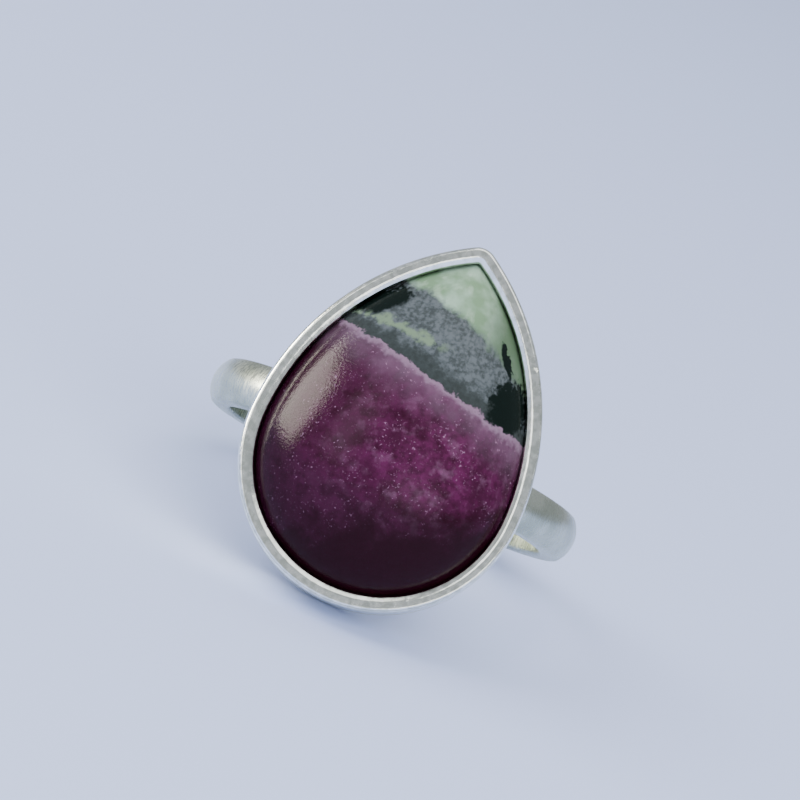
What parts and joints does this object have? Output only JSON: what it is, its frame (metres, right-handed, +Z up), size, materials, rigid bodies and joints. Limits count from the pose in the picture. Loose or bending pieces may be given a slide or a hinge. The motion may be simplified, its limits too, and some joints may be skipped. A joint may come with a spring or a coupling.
{
  "type": "gemstone ring",
  "caption": "Silver finger ring with a domed, pear-shaped ruby in zoisite cabochon in a plain bezel, lying on its side on the round end of its head and the edge of its half-round band.",
  "frame": {"origin": "bottom centre of the bounding box, on the surface that the ring lies on", "axes": "+Z up from the surface; +X across the ring, to the right for someone who faces the stone; the stone faces -Y and a little up, its tip points up, and the band lies behind it towards +Y"},
  "size_m": [0.0212, 0.0266, 0.0191],
  "materials": {
    "band_silver": "polished silver, softly worn",
    "plate_silver": "satin silver sheet",
    "bezel_silver": "rubbed and polished silver",
    "ruby_in_zoisite": "polished, purple-red ruby with green and black zoisite"
  },
  "bodies": {
    "root": {"band": "band_silver", "back_plate": "plate_silver", "bezel": "bezel_silver", "cabochon": "ruby_in_zoisite"}
  },
  "joints": []
}
